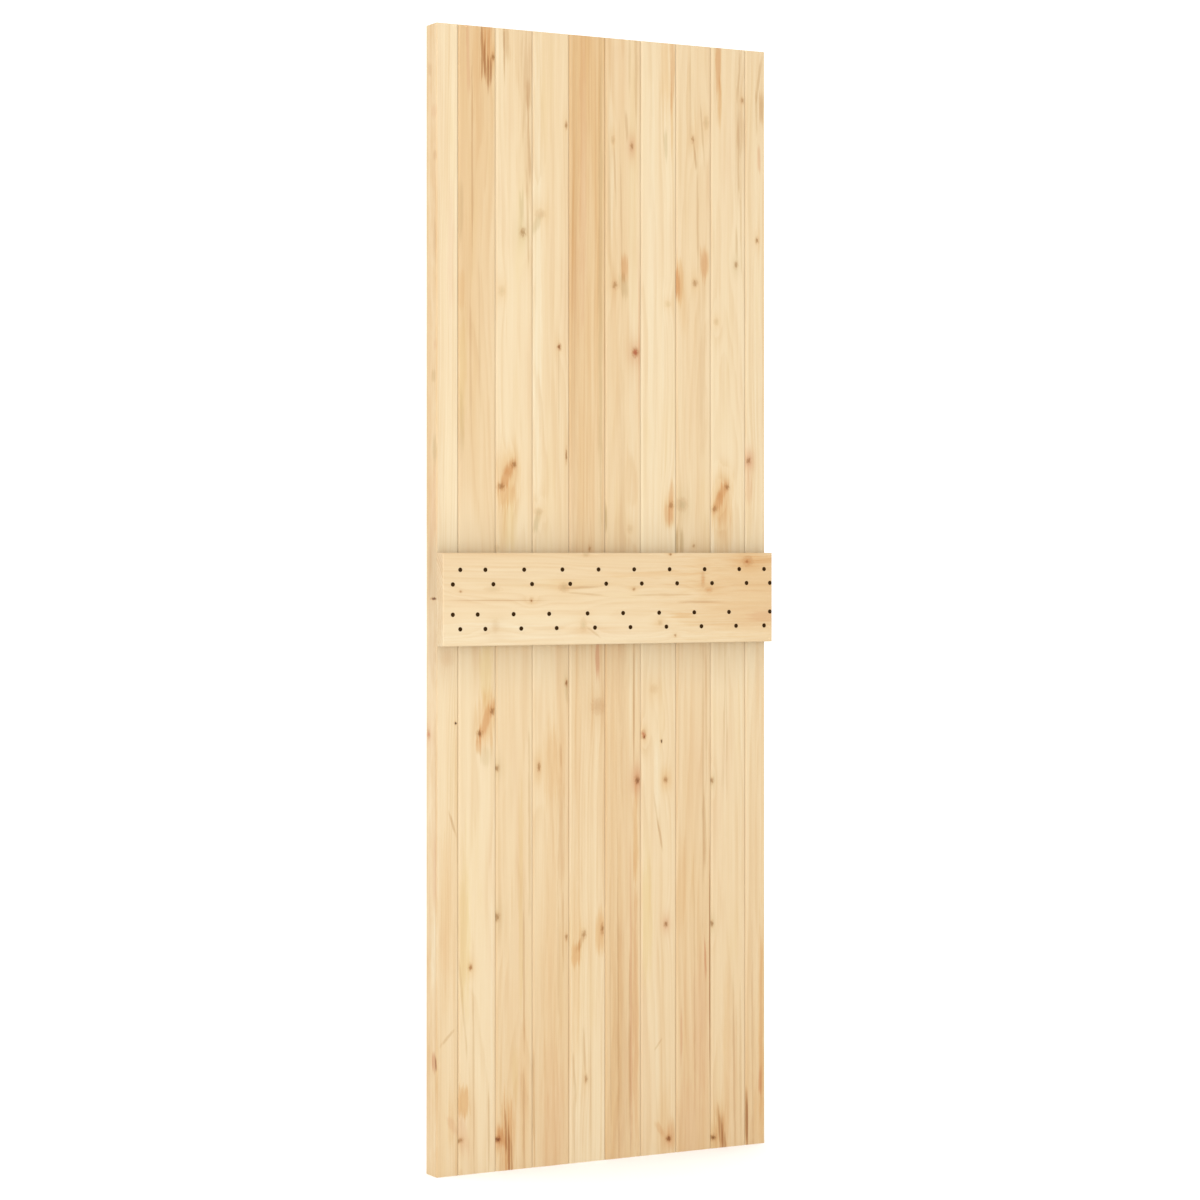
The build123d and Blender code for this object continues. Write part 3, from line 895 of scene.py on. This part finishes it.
def screwSurface(values, low, high):
    # Rows of a radius that depends on the angle, down the screw's axis. In the recess it is
    # share * (waist + (reach - waist) * |cos(2 * angle)| ^ armPower). On head and shank it is the same all
    # round. In the thread it is taper * (core + (shank - core) * ridge), and ridge falls from 1 by steepness
    # times the distance of depth / pitch - angle / (2 * pi) from its nearest whole number.
    rim, edge, recessDepth, waist, reach, pitch, plainShank, tip = (values[name] / 1000 for name in (
        "rim", "rimEdge", "recessDepth", "recessWaist", "recessReach", "pitch", "plainShank", "tip"))
    coreRadius, shankRadius = values["core"] / 2000, values["shank"] / 2000
    headRadius = (high[0] - low[0]) / 2
    length = high[1] - low[1]
    centreX, centreZ = (high[0] + low[0]) / 2, (high[2] + low[2]) / 2
    headFoot = rim + (headRadius - shankRadius) / math.tan(math.radians(values["headAngle"] / 2))
    angle = np.linspace(0, 2 * np.pi, values["sides"], endpoint=False)
    flat = np.ones_like(angle)

    recessShare, recessDown = np.array(values["recessRows"]).T[:, :, None]
    recess = (waist + (reach - waist) * np.abs(np.cos(2 * angle)) ** values["armPower"]) * recessShare
    headRadii = np.array([headRadius - edge, headRadius, headRadius, shankRadius, shankRadius])[:, None]
    headDown = np.array([0, edge, rim, headFoot, plainShank])[:, None]
    threadStart = plainShank + values["threadGaps"][0] / 1000
    threadEnd = length - values["threadGaps"][1] / 1000
    rowCount = int((threadEnd - threadStart) / pitch * values["rowsPerTurn"])
    threadDown = np.linspace(threadStart, threadEnd, rowCount)[:, None]
    turn = threadDown / pitch - angle / (2 * np.pi)
    ridge = np.clip(1 - values["steepness"] * np.abs(turn - np.round(turn)), 0, 1)
    taper = np.clip((length - threadDown) / (values["pointLength"] / 1000), values["pointShare"], 1)
    thread = (coreRadius + (shankRadius - coreRadius) * ridge) * taper

    radius = np.concatenate([recess, headRadii * flat, thread, [tip * flat]])
    down = np.concatenate([recessDepth * recessDown, headDown, threadDown, [[length]]]) * flat
    across, upright = centreX + radius * np.cos(angle), centreZ + radius * np.sin(angle)
    points = np.stack([across, low[1] + down, upright], -1)
    return closedGrid(points, (centreX, low[1] + recessDepth, centreZ), (centreX, high[1], centreZ))


def newPiece(name, corners, faces, material):
    mesh = bpy.data.meshes.new(name)
    mesh.from_pydata(corners.tolist(), [], faces)
    mesh.update()
    piece = bpy.data.objects.new(name, mesh)
    bpy.context.scene.collection.objects.link(piece)
    giveMaterial(piece, material)
    return piece


def makeScrews(name, values, material):
    allCorners, allFaces, start = [], [], 0
    for low, high in screwBoxes(name):
        corners, *faceGroups = screwSurface(values, low, high)
        for faces in faceGroups:
            allFaces += (faces + start).tolist()
        allCorners.append(corners)
        start += len(corners)
    piece = newPiece(name + "_threaded", np.concatenate(allCorners), allFaces, material)
    mesh = piece.data
    mesh.polygons.foreach_set("use_smooth", np.ones(len(mesh.polygons), bool))
    mesh.set_sharp_from_angle(angle=math.radians(values["sharpAngle"]))
    mesh.update()
    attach(piece, "root")
    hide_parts(name)
    return piece


steelValues = {
    "grain": 1800, "wear": (0.45, 0.7),
    "black": (0.016, 0.006, 0.001, 1), "worn": (0.09, 0.042, 0.006, 1),
    "roughness": (0.3, 0.7, 0.5, 0.68), "specular": 0.06, "bump": 0.3, "bumpHeight": 0.00005,
}


def screwMaterial(values):
    material, objectPlace = newMaterial("blackened_steel")
    speck = noiseOf(objectPlace, values["grain"], 3)["Fac"]
    colour = mixColours(ramp(speck, *values["wear"]), values["black"], values["worn"])
    bump = addNode("Bump", {"Strength": values["bump"], "Distance": values["bumpHeight"], "Height": speck})
    finishMaterial({
        "Base Color": colour, "Roughness": ramp(speck, *values["roughness"]),
        "Normal": bump.outputs[0], "Specular IOR Level": values["specular"]})
    return material


blackenedSteel = screwMaterial(steelValues)
for screwName in screwNames:
    makeScrews(screwName, screwValues, blackenedSteel)
print("4 screws")


studio = {
    "floorRadius": 14, "floorInner": 0.3, "floorSides": 96, "floorRings": 12,  # metres
    "floorWhite": (0.925, 0.955), "floorGrain": 1.5, "floorClouds": (0.3, 0.7), "floorRoughness": 0.9,
    "skyStrength": 1.32,
    "keyPlace": (-5.4, -5.2, -1), "keySize": 3, "keyPower": 280,
}


def floorMaterial(values):
    material, objectPlace = newMaterial("paleFloor")
    cloud = noiseOf(objectPlace, values["floorGrain"], 3)["Fac"]
    white = grey(ramp(cloud, *values["floorClouds"], *values["floorWhite"]))
    finishMaterial({"Base Color": white, "Roughness": values["floorRoughness"]})
    return material


def makeFloor(values):
    # A flat disc: rings of shrinking radius round the leaf's foot, turned to face up
    angle = np.linspace(0, 2 * np.pi, values["floorSides"], endpoint=False)
    radius = np.linspace(values["floorRadius"], values["floorInner"], values["floorRings"])[:, None]
    height = np.full((len(radius), len(angle)), leafLow.z)
    points = np.stack([radius * np.cos(angle), radius * np.sin(angle), height], -1)
    foot = (0, 0, leafLow.z)
    corners, quads, _, innerFan = closedGrid(points, foot, foot)  # the outer fan would lie on the disc
    faces = quads[:, ::-1].tolist() + innerFan[:, ::-1].tolist()
    floor = newPiece("studioFloor", corners, faces, floorMaterial(values))


def makeLight(values):
    world = bpy.data.worlds.new("whiteStudio")
    world.use_nodes = True
    background = world.node_tree.nodes["Background"]
    background.inputs["Color"].default_value = (1, 1, 1, 1)
    background.inputs["Strength"].default_value = values["skyStrength"]
    bpy.context.scene.world = world
    data = bpy.data.lights.new("softKey", "AREA")
    data.shape = "DISK"
    data.size = values["keySize"]
    data.energy = values["keyPower"]
    key = bpy.data.objects.new("softKey", data)
    key.location = values["keyPlace"]
    target = Vector((0, 0, (leafLow.z + leafHigh.z) / 2))
    key.rotation_euler = (target - key.location).to_track_quat("-Z", "Y").to_euler()
    bpy.context.scene.collection.objects.link(key)
    bpy.context.scene.view_settings.view_transform = "Standard"


makeFloor(studio)
makeLight(studio)
print("5 studio")
